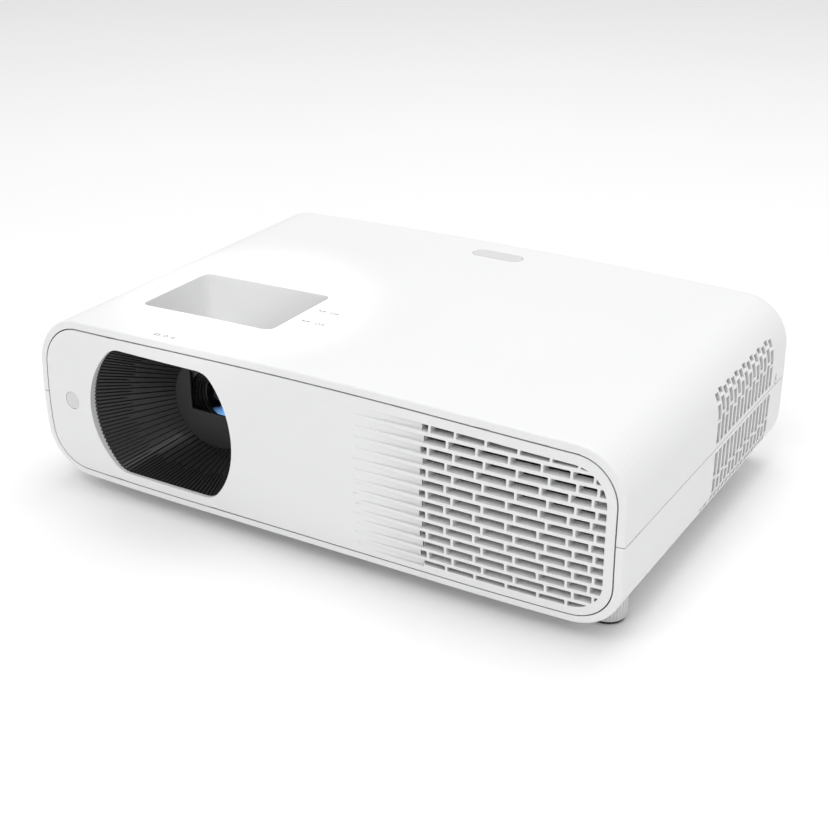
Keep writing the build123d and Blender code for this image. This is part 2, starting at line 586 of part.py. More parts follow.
def rear_panel():
    """The rear panel with its sockets, the mains inlet and the keys' holes."""
    low, high = REAR_OPEN_Z
    lap = REAR_LAP
    y = (REAR_FACE - REAR_THICK, REAR_FACE)
    panel = block((-REAR_OPEN_X - lap, REAR_OPEN_X + lap), y, (low - lap, high + lap))
    through = (y[0] - 1, y[1] + 1)

    def socket(name, places, size, wall, depth):
        """A shelled socket on the main board, its mouth flush with the panel."""
        nonlocal panel
        bodies = []
        for x in places:
            span_x = (x - size[0] / 2, x + size[0] / 2)
            span_z = (31.6, 31.6 + size[1])
            mouth_x = (span_x[0] + wall, span_x[1] - wall)
            mouth_z = (span_z[0] + wall, span_z[1] - wall)
            body = block(span_x, (REAR_FACE - depth, REAR_FACE + 0.3), span_z)
            body = body - block(mouth_x, (REAR_FACE - depth + 2, REAR_FACE + 1), mouth_z)
            tongue_z = (31.6 + size[1] / 2 - 0.7, 31.6 + size[1] / 2 + 0.7)
            tongue_x = (mouth_x[0] + 1.2, mouth_x[1] - 1.2)
            body = body + block(tongue_x, (REAR_FACE - depth + 1, REAR_FACE - 2.5), tongue_z)
            bodies.append(body)
            panel = panel - block((span_x[0] - 0.2, span_x[1] + 0.2), through,
                                  (span_z[0] - 0.2, span_z[1] + 0.2))
        nodes[name] = group(bodies)

    socket("hdmi_sockets", (-38, -16), (15.2, 6.4), 0.7, 12)
    socket("usb_socket", (7,), (14.4, 7.2), 0.7, 14)
    socket("lan_socket", (32,), (16.4, 13.4), 1.2, 18)
    socket("serial_socket", (64,), (17.0, 10.0), 1.0, 12)

    jacks = []
    for x in (-64, -78):
        jack = block((x - 5.5, x + 5.5), (REAR_FACE - 14, REAR_FACE - 2.4), (31.6, 43.6))
        jack = jack + rod_y(x, 37.6, (REAR_FACE - 3, REAR_FACE + 0.8), 4.4)
        jacks.append(jack - rod_y(x, 37.6, (REAR_FACE - 12, REAR_FACE + 2), 1.8))
        panel = panel - rod_y(x, 37.6, through, 4.6)
    nodes["audio_sockets"] = group(jacks)

    inlet = block((116, 144), (REAR_FACE - 22, REAR_FACE), (38, 58))
    flange = block((112, 148), (REAR_FACE, REAR_FACE + 1.6), (34, 62))
    flange = fillet(flange.edges().filter_by(Axis.Y), 3)
    recess = block((118, 142), (REAR_FACE - 16, REAR_FACE + 2), (40, 56))
    recess = chamfer(recess.edges().filter_by(Axis.Y).sort_by(Axis.Z)[-2:], 4)
    pins = [block((x - 1, x + 1), (REAR_FACE - 17, REAR_FACE - 3), (z - 2, z + 2))
            for x, z in ((123, 46), (137, 46), (130, 51))]
    inlet = inlet + flange - recess
    nodes["mains_inlet"] = inlet + pins
    panel = panel - block((115.8, 144.2), through, (37.8, 58.2))

    for k in range(10):
        at = 88 + k * 7
        panel = panel - block((at, at + 3.4), through, (70, 84))
    panel = panel - block((-14, 14), through, (52, 54)) - block((-14, 14), through, (58, 60))
    panel = panel - block((-14, 14), through, (64, 66)) - block((152, 159), through, (44, 47.2))

    def key(name, sketch):
        """A key with its retaining flange and its stem, pressed along -Y."""
        nonlocal panel
        face = REAR_FACE + KEY_PROUD
        cap = slab(sketch, (REAR_FACE - REAR_THICK - 1, face))
        cap = fillet(cap.faces().sort_by(Axis.Y)[-1].edges(), 0.6)
        flange_y = (REAR_FACE - REAR_THICK - 1.9, REAR_FACE - REAR_THICK - 0.4)
        flange_sketch = offset(sketch, 1.2)
        centre = sketch.center()
        stem = rod_y(centre.X, centre.Y, (133.4, flange_y[0] + 0.5), 1.5)
        nodes[name] = cap + slab(flange_sketch, flange_y) + stem
        panel = panel - slab(offset(sketch, KEY_CLEAR), through)

    cx, cz = KEY_PAD
    key("enter_key", Pos(cx, cz) * Circle(4.6))
    key("up_key", Pos(cx, cz + KEY_REACH) * RectangleRounded(10, 6, 2))
    key("down_key", Pos(cx, cz - KEY_REACH) * RectangleRounded(10, 6, 2))
    key("left_key", Pos(cx - KEY_REACH, cz) * RectangleRounded(6, 10, 2))
    key("right_key", Pos(cx + KEY_REACH, cz) * RectangleRounded(6, 10, 2))
    key("power_key", Pos(*POWER_KEY) * Circle(5.6))
    nodes["rear_panel"] = panel


# ---------------------------------------------------------------- feet and fasteners
def feet():
    """Levelling feet: a rubber pad that stays still and a knurled screw that turns on it."""
    nuts = []
    for ending, (x, y) in foot_places().items():
        pad = rod_z(x, y, (0, PAD_THICK), PAD_RADIUS)
        pad = chamfer(pad.edges().group_by(Axis.Z)[0], 0.5)
        nodes[f"foot_pad_{ending}"] = pad + rod_z(x, y, (PAD_THICK, 5.0), 2.0)
        wheel = rod_z(x, y, (PAD_THICK + 0.3, FOOT_TOP), FOOT_RADIUS)
        wheel = chamfer(wheel.edges().filter_by(GeomType.CIRCLE), 0.7)
        grooves = []
        teeth = 36
        for k in range(teeth):
            angle = 2 * pi * k / teeth
            place = (x + FOOT_RADIUS * cos(angle), y + FOOT_RADIUS * sin(angle))
            grooves.append(rod_z(*place, (0, FOOT_TOP + 1), 0.55))
        wheel = wheel - grooves
        wheel = wheel - rod_z(x, y, (0, 5.5), 2.0 + RUNNING)
        nodes[f"foot_screw_{ending}"] = wheel + rod_z(x, y, (FOOT_TOP - 1, STUD_TOP), STUD_RADIUS)
        nut = rod_z(x, y, (POCKET_ROOF + 2, POCKET_ROOF + 12), NUT_RADIUS)
        nuts.append(nut - rod_z(x, y, (POCKET_ROOF, POCKET_ROOF + 14), STUD_RADIUS + RUNNING))
    nodes["foot_nuts"] = group(nuts)


def fasteners():
    """The case screws, up from below, and the threaded inserts for a ceiling bracket."""
    screws = []
    for x, y in SCREW_PLACES:
        head = rod_z(x, y, (55.5, 58), SCREW_HEAD)
        socket = Pos(x, y, 55) * extrude(RegularPolygon(1.25, 6), 1.6)
        screws.append(head + rod_z(x, y, (57.5, SEAM_Z + 12), SCREW_RADIUS) - socket)
    nodes["case_screws"] = group(screws)
    inserts = []
    for x in (-MOUNT_X, MOUNT_X):
        for y in MOUNT_Y:
            span = (CASE_BOTTOM, CASE_BOTTOM + INSERT_LENGTH)
            inserts.append(rod_z(x, y, span, INSERT_RADIUS) - rod_z(x, y, span, INSERT_BORE))
    nodes["mount_inserts"] = group(inserts)


def main():
    """Build every node and write it."""
    _, room = case_halves()
    front_panel()
    lens_hood()
    adjustment_well(room)
    lens_assembly()
    light_engine()
    fans()
    speaker()
    boards()
    rear_panel()
    feet()
    fasteners()
    os.makedirs("parts", exist_ok=True)
    for name, piece in nodes.items():
        export_step(piece, f"parts/{name}.step")
    print(len(nodes), "nodes")


main()
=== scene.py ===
"""Studio scene of a home projector: the CAD frame's pieces, finished and dressed."""

import json
import logging
import math
from contextlib import contextmanager
from dataclasses import dataclass, field
from enum import Enum
from typing import Callable, Iterable, Iterator, Sequence

import bmesh
import bpy
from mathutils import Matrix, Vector


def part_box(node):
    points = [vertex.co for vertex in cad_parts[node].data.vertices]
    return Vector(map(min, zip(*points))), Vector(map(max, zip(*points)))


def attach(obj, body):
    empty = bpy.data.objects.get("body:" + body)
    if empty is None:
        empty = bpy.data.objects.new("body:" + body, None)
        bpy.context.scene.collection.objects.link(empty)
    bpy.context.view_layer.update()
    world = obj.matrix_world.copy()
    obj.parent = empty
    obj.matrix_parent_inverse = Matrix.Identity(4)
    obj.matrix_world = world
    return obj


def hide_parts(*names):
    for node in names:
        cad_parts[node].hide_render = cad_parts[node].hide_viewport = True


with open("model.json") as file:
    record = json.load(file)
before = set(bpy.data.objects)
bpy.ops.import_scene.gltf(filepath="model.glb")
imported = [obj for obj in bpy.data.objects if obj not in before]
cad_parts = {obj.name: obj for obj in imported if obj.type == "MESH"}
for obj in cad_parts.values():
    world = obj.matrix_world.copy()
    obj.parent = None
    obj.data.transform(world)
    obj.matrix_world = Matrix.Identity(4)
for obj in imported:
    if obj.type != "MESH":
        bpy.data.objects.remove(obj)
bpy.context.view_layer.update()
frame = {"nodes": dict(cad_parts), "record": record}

log = logging.getLogger("projector")
MM = 0.001
CHASSIS = "chassis"
Colour = tuple[float, float, float]


# ------------------------------------------------------------------ shader sheet
class Wire:
    """One output of a material's nodes, which adds Math nodes when it is used in an expression."""

    def __init__(self, sheet: "Sheet", socket: bpy.types.NodeSocket) -> None:
        """Wraps a socket.

        Args:
            sheet: The material's sheet, which adds the nodes.
            socket: The output that this wire leaves from.
        """
        self.sheet = sheet
        self.socket = socket

    def _math(self, operation: str, first: "Wire | float", second: "Wire | float") -> "Wire":
        """A Math node on two values, either of which may be a plain number."""
        return self.sheet.add("ShaderNodeMath", {"operation": operation}, {0: first, 1: second})

    def __add__(self, other: "Wire | float") -> "Wire":
        """self + other."""
        return self._math("ADD", self, other)

    def __radd__(self, other: float) -> "Wire":
        """other + self."""
        return self._math("ADD", other, self)

    def __sub__(self, other: "Wire | float") -> "Wire":
        """self - other."""
        return self._math("SUBTRACT", self, other)

    def __rsub__(self, other: float) -> "Wire":
        """other - self."""
        return self._math("SUBTRACT", other, self)

    def __mul__(self, other: "Wire | float") -> "Wire":
        """self * other."""
        return self._math("MULTIPLY", self, other)

    def __rmul__(self, other: float) -> "Wire":
        """other * self."""
        return self._math("MULTIPLY", other, self)

    def ramp(self, low: float, high: float, start: float = 0.0, end: float = 1.0) -> "Wire":
        """A clamped ramp.

        Args:
            low: The value that gives start.
            high: The value that gives end.
            start: The result at low.
            end: The result at high.

        Returns:
            The remapped wire.
        """
        return self.sheet.add("ShaderNodeMapRange", {"clamp": True},
                              {"Value": self, "From Min": low, "From Max": high,
                               "To Min": start, "To Max": end})


class Sheet:
    """The node sheet of one material."""

    def __init__(self, name: str) -> None:
        """Makes an empty material that uses nodes.

        Args:
            name: The material's name.
        """
        self.material = bpy.data.materials.new(name)
        self.material.use_nodes = True
        self.tree = self.material.node_tree
        self.tree.nodes.clear()

    def add(self, kind: str, settings: dict, inputs: dict, output: int | str = 0) -> Wire:
        """Adds one node.

        Args:
            kind: The node's type.
            settings: Its options by name.
            inputs: Values or wires for its sockets, by name or number.
            output: Which output to return.

        Returns:
            The chosen output as a wire.
        """
        node = self.tree.nodes.new(kind)
        for key, value in settings.items():
            setattr(node, key, value)
        for key, value in inputs.items():
            if isinstance(value, Wire):
                self.tree.links.new(value.socket, node.inputs[key])
            else:
                node.inputs[key].default_value = value
        return Wire(self, node.outputs[output])

    def place(self) -> Wire:
        """The object's own coordinates, in metres."""
        return self.add("ShaderNodeTexCoord", {}, {}, "Object")

    def noise(self, per_metre: float, detail: float = 2.0, roughness: float = 0.5) -> Wire:
        """Noise with this many features to the metre."""
        return self.add("ShaderNodeTexNoise", {}, {"Vector": self.place(), "Scale": per_metre,
                                                   "Detail": detail, "Roughness": roughness})

    def blend(self, factor: Wire, first: Colour | Wire, second: Colour | Wire) -> Wire:
        """A colour between first and second; the numbers are the Mix node's colour sockets."""
        first, second = (value if isinstance(value, Wire) else (*value, 1.0)
                         for value in (first, second))
        return self.add("ShaderNodeMix", {"data_type": "RGBA"}, {0: factor, 6: first, 7: second}, 2)

    def bump(self, height: Wire, depth: float) -> Wire:
        """A bump from a height of 0 to 1 that is depth metres deep."""
        return self.add("ShaderNodeBump", {}, {"Height": height, "Strength": 1.0,
                                               "Distance": depth}, "Normal")

    def surface(self, inputs: dict) -> bpy.types.Material:
        """Ends the sheet with a Principled shader.

        Args:
            inputs: Its values and wires by socket name.

        Returns:
            The finished material.
        """
        shader = self.add("ShaderNodeBsdfPrincipled", {}, {
            key: (*value, 1.0) if isinstance(value, tuple) and len(value) == 3 else value
            for key, value in inputs.items()})
        out = self.tree.nodes.new("ShaderNodeOutputMaterial")
        self.tree.links.new(shader.socket, out.inputs["Surface"])
        return self.material


# ------------------------------------------------------------------ finishes
@dataclass(frozen=True)
class Moulded:
    """Injection-moulded plastic with a fine spark texture, and optional painted shade darkening its
    creases.
    """

    slot: str
    colour: Colour
    rough: float = 0.42
    grain: float = 2200.0
    depth: float = 0.012 * MM
    shade: float = 0.015
    painted_crevice_shade: float = 0.0

    def make(self) -> bpy.types.Material:
        """The material: grain in the normal, a faint drift of shade and sheen, and, where set, painted
        shade darkening grooves, slots and gaps.
        """
        sheet = Sheet(self.slot + "_finish")
        drift = sheet.noise(9.0, 3.0)
        grain = sheet.noise(self.grain, 3.0, 0.6)
        dull = tuple(channel * (1.0 - self.shade) for channel in self.colour)
        colour = sheet.blend(drift * 0.7 + grain * 0.3, dull, self.colour)
        # Painted shade: ambient occlusion darkens the colour in grooves, slots and the gaps between
        # parts.
        if self.painted_crevice_shade:
            crevice_occlusion = sheet.add("ShaderNodeAmbientOcclusion", {"samples": 6},
                             {"Distance": 5.0 * MM}, "AO")
            crevice_shade_colour = tuple(channel * (1.0 - self.painted_crevice_shade) for channel in self.colour)
            colour = sheet.blend(crevice_occlusion.ramp(0.15, 0.75), crevice_shade_colour, colour)
        return sheet.surface({
            "Base Color": colour,
            "Roughness": drift.ramp(0.3, 0.7, self.rough - 0.05, self.rough + 0.05) + grain * 0.04,
            "Specular IOR Level": 0.45,
            "Normal": sheet.bump(grain, self.depth)})


@dataclass(frozen=True)
class Metal:
    """A bare or plated metal, cast, turned or drawn."""

    slot: str
    colour: Colour
    rough: float = 0.35
    grain: float = 900.0
    depth: float = 0.02 * MM

    def make(self) -> bpy.types.Material:
        """The material: tarnish in the colour and small marks in the sheen."""
        sheet = Sheet(self.slot + "_finish")
        tarnish = sheet.noise(60.0, 4.0, 0.6)
        grain = sheet.noise(self.grain, 2.0)
        dull = tuple(channel * 0.8 for channel in self.colour)
        return sheet.surface({
            "Base Color": sheet.blend(tarnish, dull, self.colour),
            "Metallic": 1.0,
            "Roughness": tarnish * 0.15 + grain * 0.1 + (self.rough - 0.1),
            "Normal": sheet.bump(grain, self.depth)})


@dataclass(frozen=True)
class Glass:
    """Glass or clear plastic, seen dark with a coated sheen and a painted sheen towards the rim."""

    slot: str
    edge: Colour
    middle: Colour
    rough: float = 0.04
    coat: float = 1.0

    def make(self) -> bpy.types.Material:
        """The material: painted sheen, the colour lightening towards the rim as the glass turns from
        the view, under a clear coat.
        """
        sheet = Sheet(self.slot + "_finish")
        smear = sheet.noise(120.0, 3.0)
        # Painted sheen: the colour lightens where the glass turns away from the view.
        painted_rim_sheen = sheet.add("ShaderNodeLayerWeight", {}, {"Blend": 0.35}, "Facing")
        return sheet.surface({
            "Base Color": sheet.blend(painted_rim_sheen, self.middle, self.edge),
            "Roughness": smear.ramp(0.3, 0.7, self.rough, self.rough + 0.06),
            "IOR": 1.6,
            "Coat Weight": self.coat,
            "Coat Roughness": 0.03})


@dataclass(frozen=True)
class FrontGlass:
    """The coated front glass: nearly black, with a painted blue glint low on the right that glows."""

    slot: str
    centre: tuple[float, float] = (-100.0 * MM, 67.5 * MM)

    def make(self) -> bpy.types.Material:
        """The material: a painted glint, in the colour and as emission, placed across the glass, under
        a clear coat.
        """
        sheet = Sheet(self.slot + "_front_finish")
        place = sheet.place()
        x, z = (sheet.add("ShaderNodeSeparateXYZ", {}, {0: place}, axis) for axis in ("X", "Z"))
        smear = sheet.noise(160.0, 3.0)
        # Painted reflection: a blue glint low on the right, in the colour and glowing as emission.
        low = (x - self.centre[0]) * 0.5 - (z - self.centre[1]) + (smear - 0.5) * (4 * MM)
        painted_glint = low.ramp(4.0 * MM, 11.0 * MM)
        return sheet.surface({
            "Base Color": sheet.blend(painted_glint, (0.003, 0.004, 0.007), (0.1, 0.3, 0.8)),
            "Emission Color": sheet.blend(painted_glint, (0.0, 0.0, 0.0), (0.22, 0.5, 1.0)),
            "Emission Strength": 0.9,
            "Roughness": smear.ramp(0.3, 0.7, 0.03, 0.08),
            "IOR": 1.6,
            "Coat Weight": 1.0,
            "Coat Roughness": 0.03})


@dataclass(frozen=True)
class Board:
    """A circuit board's solder mask with faint tracks."""

    slot: str
    mask: Colour = (0.015, 0.09, 0.04)
    track: Colour = (0.03, 0.16, 0.07)

    def make(self) -> bpy.types.Material:
        """The material: square patches of track under the mask."""
        sheet = Sheet(self.slot + "_finish")
        tracks = sheet.add("ShaderNodeTexVoronoi", {"distance": "MANHATTAN"},
                           {"Vector": sheet.place(), "Scale": 260.0}, "Distance")
        return sheet.surface({
            "Base Color": sheet.blend(tracks.ramp(0.35, 0.4), self.mask, self.track),
            "Roughness": tracks.ramp(0.3, 0.5, 0.3, 0.42),
            "Normal": sheet.bump(tracks.ramp(0.3, 0.4), 0.03 * MM)})


FINISHES = (
    # The last value of the two white finishes sets how strongly painted shade darkens their creases.
    Moulded("white_case", (0.86, 0.862, 0.865), painted_crevice_shade=0.55),
    Moulded("white_panel", (0.85, 0.852, 0.856), 0.38, 3000.0, 0.006 * MM, painted_crevice_shade=0.35),
    Moulded("black_hood", (0.026, 0.026, 0.027), 0.42, 2600.0, 0.02 * MM, 0.2),
    Moulded("lens_black", (0.02, 0.02, 0.021), 0.28, 2600.0, 0.01 * MM, 0.2),
    Moulded("black_plastic", (0.03, 0.03, 0.032), 0.45, 2000.0, 0.02 * MM, 0.2),
    Moulded("parts_dark", (0.03, 0.03, 0.034), 0.4, 1500.0, 0.02 * MM, 0.3),
    Moulded("grey_key", (0.3, 0.3, 0.31), 0.45, 2400.0, 0.01 * MM, 0.06),
    Moulded("rubber", (0.035, 0.035, 0.036), 0.8, 1600.0, 0.04 * MM, 0.3),
    Moulded("foot_grey", (0.74, 0.74, 0.745), 0.4, 2000.0, 0.02 * MM, 0.06),
    Moulded("paper_cone", (0.05, 0.048, 0.046), 0.85, 900.0, 0.05 * MM, 0.3),
    Moulded("print_grey", (0.2, 0.2, 0.21), 0.5, 4000.0, 0.004 * MM, 0.05),
    Metal("cast_metal", (0.6, 0.6, 0.62), 0.5, 1200.0, 0.04 * MM),
    Metal("tin_plate", (0.72, 0.72, 0.72), 0.3),
    Metal("copper", (0.75, 0.42, 0.28), 0.3),
    Metal("brass", (0.78, 0.58, 0.28), 0.3),
    Metal("screw_steel", (0.2, 0.2, 0.21), 0.35),
    Metal("mirror_chip", (0.7, 0.72, 0.75), 0.15, 3000.0, 0.002 * MM),
    Metal("phosphor", (0.8, 0.7, 0.2), 0.6, 2000.0),
    Glass("coated_glass", (0.05, 0.12, 0.35), (0.004, 0.006, 0.012)),
    Glass("grey_window", (0.74, 0.74, 0.745), (0.68, 0.68, 0.685), 0.3, 0.3),
    Glass("blue_light", (0.03, 0.12, 0.7), (0.02, 0.09, 0.6), 0.2, 0.6),
    Board("board_green"),
)


# ------------------------------------------------------------------ modelling bench
class Bench:
    """Modelling tools; each works on one object at a time."""

    @staticmethod
    def pick(piece: bpy.types.Object) -> None:
        """Makes this the only selected object, and the active one."""
        if bpy.context.mode != "OBJECT":
            bpy.ops.object.mode_set(mode="OBJECT")
        bpy.ops.object.select_all(action="DESELECT")
        piece.select_set(True)
        bpy.context.view_layer.objects.active = piece

    @classmethod
    @contextmanager
    def editing(cls, piece: bpy.types.Object) -> Iterator[None]:
        """Edit mode on one object, with everything in it selected."""
        cls.pick(piece)
        bpy.ops.object.mode_set(mode="EDIT")
        bpy.ops.mesh.select_all(action="SELECT")
        yield
        bpy.ops.object.mode_set(mode="OBJECT")

    @classmethod
    def copy_of(cls, node: str, flat: float = 0.03) -> bpy.types.Object:
        """A merged copy of a CAD node's mesh, to be shaped further.

        Args:
            node: The CAD node's name.
            flat: Faces closer than this many degrees become one.

        Returns:
            The new object, with large flat faces.
        """
        piece = bpy.data.objects.new("look_" + node, frame["nodes"][node].data.copy())
        bpy.context.scene.collection.objects.link(piece)
        piece.data.materials.clear()
        with cls.editing(piece):
            bpy.ops.mesh.remove_doubles(threshold=0.001 * MM)
            bpy.ops.mesh.customdata_custom_splitnormals_clear()
            bpy.ops.mesh.dissolve_limited(angle_limit=math.radians(flat))
            bpy.ops.mesh.normals_make_consistent(inside=False)
        return piece

    @classmethod
    def slice(cls, piece: bpy.types.Object, axis: int, places: Iterable[float]) -> None:
        """Cuts new edges across a mesh at these places along an axis."""
        normal = [0.0, 0.0, 0.0]
        normal[axis] = 1.0
        with cls.editing(piece):
            for place in places:
                point = [0.0, 0.0, 0.0]
                point[axis] = place
                bpy.ops.mesh.select_all(action="SELECT")
                bpy.ops.mesh.bisect(plane_co=point, plane_no=normal)

    @classmethod
    def soften(cls, piece: bpy.types.Object, width: float, angle: float = 35.0,
               where: Callable[[Vector], bool] | None = None) -> None:
        """Rounds the sharp edges with an applied bevel.

        Args:
            piece: The object.
            width: How far the round reaches on each side, in metres.
            angle: Only edges sharper than this many degrees are rounded.
            where: Keeps the edges whose middles it accepts.
        """
        cls.pick(piece)
        bevel = piece.modifiers.new("soften", "BEVEL")
        bevel.width = width
        bevel.segments = 2
        bevel.limit_method = "ANGLE"
        bevel.angle_limit = math.radians(angle)
        bevel.use_clamp_overlap = False
        if where:
            cls.mark(piece, math.radians(angle), where)
            bevel.limit_method = "WEIGHT"
        bpy.ops.object.modifier_apply(modifier=bevel.name)

    @staticmethod
    def hold(piece: bpy.types.Object, node: str) -> None:
        """Keeps every corner of a mesh inside the box of a CAD node."""
        low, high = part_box(node)
        for vertex in piece.data.vertices:
            vertex.co = [min(max(place, least), most)
                         for place, least, most in zip(vertex.co, low, high)]
        piece.data.update()

    @staticmethod
    def mark(piece: bpy.types.Object, angle: float, where: Callable[[Vector], bool]) -> None:
        """Gives the chosen sharp edges a bevel weight.

        Args:
            piece: The object.
            angle: The least angle between the faces, in radians.
            where: Accepts an edge by its middle.
        """
        work = bmesh.new()
        work.from_mesh(piece.data)
        weight = work.edges.layers.float.new("bevel_weight_edge")
        for edge in work.edges:
            middle = (edge.verts[0].co + edge.verts[1].co) / 2
            edge[weight] = float(edge.calc_face_angle(0.0) > angle and where(middle))
        work.to_mesh(piece.data)
        work.free()

    @classmethod
    def hoop(cls, name: str, steps: int, rings: int) -> bpy.types.Object:
        """A circle extruded in place into several rings, ready for reshape.

        Args:
            name: The object's name.
            steps: Corners in each ring.
            rings: How many rings there are.

        Returns:
            The new object.
        """
        bpy.ops.object.select_all(action="DESELECT")
        bpy.ops.mesh.primitive_circle_add(vertices=steps, radius=1.0)
        piece = bpy.context.object
        piece.name = name
        with cls.editing(piece):
            for _ in range(rings - 1):
                bpy.ops.mesh.extrude_edges_move()
        return piece

    @staticmethod
    def reshape(piece: bpy.types.Object, steps: int,
                rule: Callable[[int, int], Sequence[float]]) -> None:
        """Places every corner of a hoop.

        Args:
            piece: An object made by hoop.
            steps: Corners in each ring.
            rule: Gives a place from the number of the ring and of the step.
        """
        for vertex in piece.data.vertices:
            turn = math.atan2(vertex.co.y, vertex.co.x) / math.tau
            vertex.co = rule(vertex.index // steps, round(turn * steps) % steps)
        piece.data.update()

    @classmethod
    def close(cls, piece: bpy.types.Object) -> None:
        """Joins the first ring of a hoop to its last, and turns the faces outwards."""
        with cls.editing(piece):
            bpy.ops.mesh.select_mode(type="EDGE")
            bpy.ops.mesh.select_all(action="DESELECT")
            bpy.ops.mesh.select_non_manifold()
            bpy.ops.mesh.bridge_edge_loops()
            bpy.ops.mesh.select_all(action="SELECT")
            bpy.ops.mesh.normals_make_consistent(inside=False)
            bpy.ops.mesh.select_mode(type="VERT")

    @classmethod
    def cap(cls, piece: bpy.types.Object) -> None:
        """Fills the open ends of a hoop, and turns the faces outwards."""
        with cls.editing(piece):
            bpy.ops.mesh.select_all(action="DESELECT")
            bpy.ops.mesh.select_non_manifold()
            bpy.ops.mesh.edge_face_add()
            bpy.ops.mesh.select_all(action="SELECT")
            bpy.ops.mesh.normals_make_consistent(inside=False)

    @classmethod
    def turned(cls, name: str, profile: Sequence[tuple[float, float]],
               centre: tuple[float, float], steps: int = 96) -> bpy.types.Object:
        """A piece turned about a line along Y.

        Args:
            name: The object's name.
            profile: Radius and y of each ring, in order round the section.
            centre: x and z of the line.
            steps: Corners in each ring.

        Returns:
            The open hoop; close or cap it.
        """
        piece = cls.hoop(name, steps, len(profile))

        def rule(ring: int, step: int) -> tuple[float, float, float]:
            """The place of one corner."""
            angle = math.tau * step / steps
            radius, y = profile[ring]
            return (centre[0] + radius * math.cos(angle), y, centre[1] + radius * math.sin(angle))

        cls.reshape(piece, steps, rule)
        return piece

    @classmethod
    def finish(cls, piece: bpy.types.Object, material: bpy.types.Material, slot: str, body: str,
               nodes: Sequence[str] = (), angle: float = 30.0) -> None:
        """Shades, paints and mounts a finished piece.

        Args:
            piece: The finished object.
            material: Its material.
            slot: The record's material slot; not used.
            body: The CAD body it rides on.
            nodes: The CAD nodes it stands for.
            angle: Edges sharper than this many degrees stay sharp.
        """
        cls.pick(piece)
        bpy.ops.object.shade_smooth_by_angle(angle=math.radians(angle))
        even = piece.modifiers.new("even_light", "WEIGHTED_NORMAL")
        even.keep_sharp = True
        bpy.ops.object.modifier_apply(modifier=even.name)
        piece.data.materials.append(material)
        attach(piece, body)
        if nodes:
            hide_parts(*nodes)


class Workshop:
    """The finishes, and where each CAD node belongs."""

    def __init__(self) -> None:
        """Mixes every finish and reads the record's tables."""
        self.paint = {finish.slot: finish.make() for finish in FINISHES}
        record = frame["record"]
        self.slot_of = {part["node"]: part["material_slot"] for part in record["subparts"]}
        self.body_of = {node: body for body, nodes in record["behaviour"]["bodies"].items()
                        for node in nodes}

    def mount(self, piece: bpy.types.Object, node: str, angle: float = 30.0) -> None:
        """Finishes a piece that stands for one CAD node."""
        slot = self.slot_of[node]
        Bench.finish(piece, self.paint[slot], slot, self.body_of[node], (node,), angle)

    def paint_node(self, node: str) -> None:
        """Gives a CAD node, shown as it is, its finish."""
        shown = frame["nodes"][node]
        for place in shown.material_slots:
            place.material = self.paint[self.slot_of[node]]


# ------------------------------------------------------------------ pieces
@dataclass(frozen=True)
class Eye:
    """The outline of the lens opening: a circle cut flat at top and bottom, corners rounded."""

    x: float = -108.5 * MM
    z: float = 68.4 * MM
    radius: float = 57.5 * MM
    half: float = 43.8 * MM
    corner: float = 15.0 * MM
    reach: float = 10.0 * MM

    def eased(self, x: float, z: float) -> tuple[float, float]:
        """Moves a place near a sharp corner of the opening so that the corner is round.

        Args:
            x: The place's x.
            z: The place's z.

        Returns:
            The new x and z; places away from the corners stay.
        """
        out, up = abs(x - self.x), abs(z - self.z)
        hub_up = self.half - self.corner
        hub_out = math.sqrt((self.radius - self.corner) ** 2 - hub_up**2)
        if out <= hub_out or up * hub_out <= out * hub_up:
            return x, z
        way = (out - hub_out, up - hub_up)
        length = math.hypot(*way)
        way = (way[0] / length, way[1] / length)
        flat = self.corner / max(way[1], 1e-6)
        middle = hub_out * way[0] + hub_up * way[1]
        round_ = -middle + math.sqrt(middle**2 + self.radius**2 - hub_out**2 - hub_up**2)
        edge = min(flat, round_)
        if length <= edge:
            length *= self.corner / edge
        else:
            length -= (edge - self.corner) * max(0.0, 1.0 - (length - edge) / self.reach)
        new_out, new_up = hub_out + way[0] * length, hub_up + way[1] * length
        return (self.x + math.copysign(new_out, x - self.x),
                self.z + math.copysign(new_up, z - self.z))


@dataclass
class Copies:
    """CAD nodes shown as softened copies of themselves."""

    edges: dict[str, float]
    pieces: dict[str, bpy.types.Object] = field(default_factory=dict)

    def mesh(self) -> None:
        """Copies each node and rounds its edges."""
        for node, width in self.edges.items():
            piece = Bench.copy_of(node)
            if width:
                Bench.soften(piece, width)
            self.pieces[node] = piece

    def dress(self, shop: Workshop) -> None:
        """Finishes the copies."""
        for node, piece in self.pieces.items():
            shop.mount(piece, node)


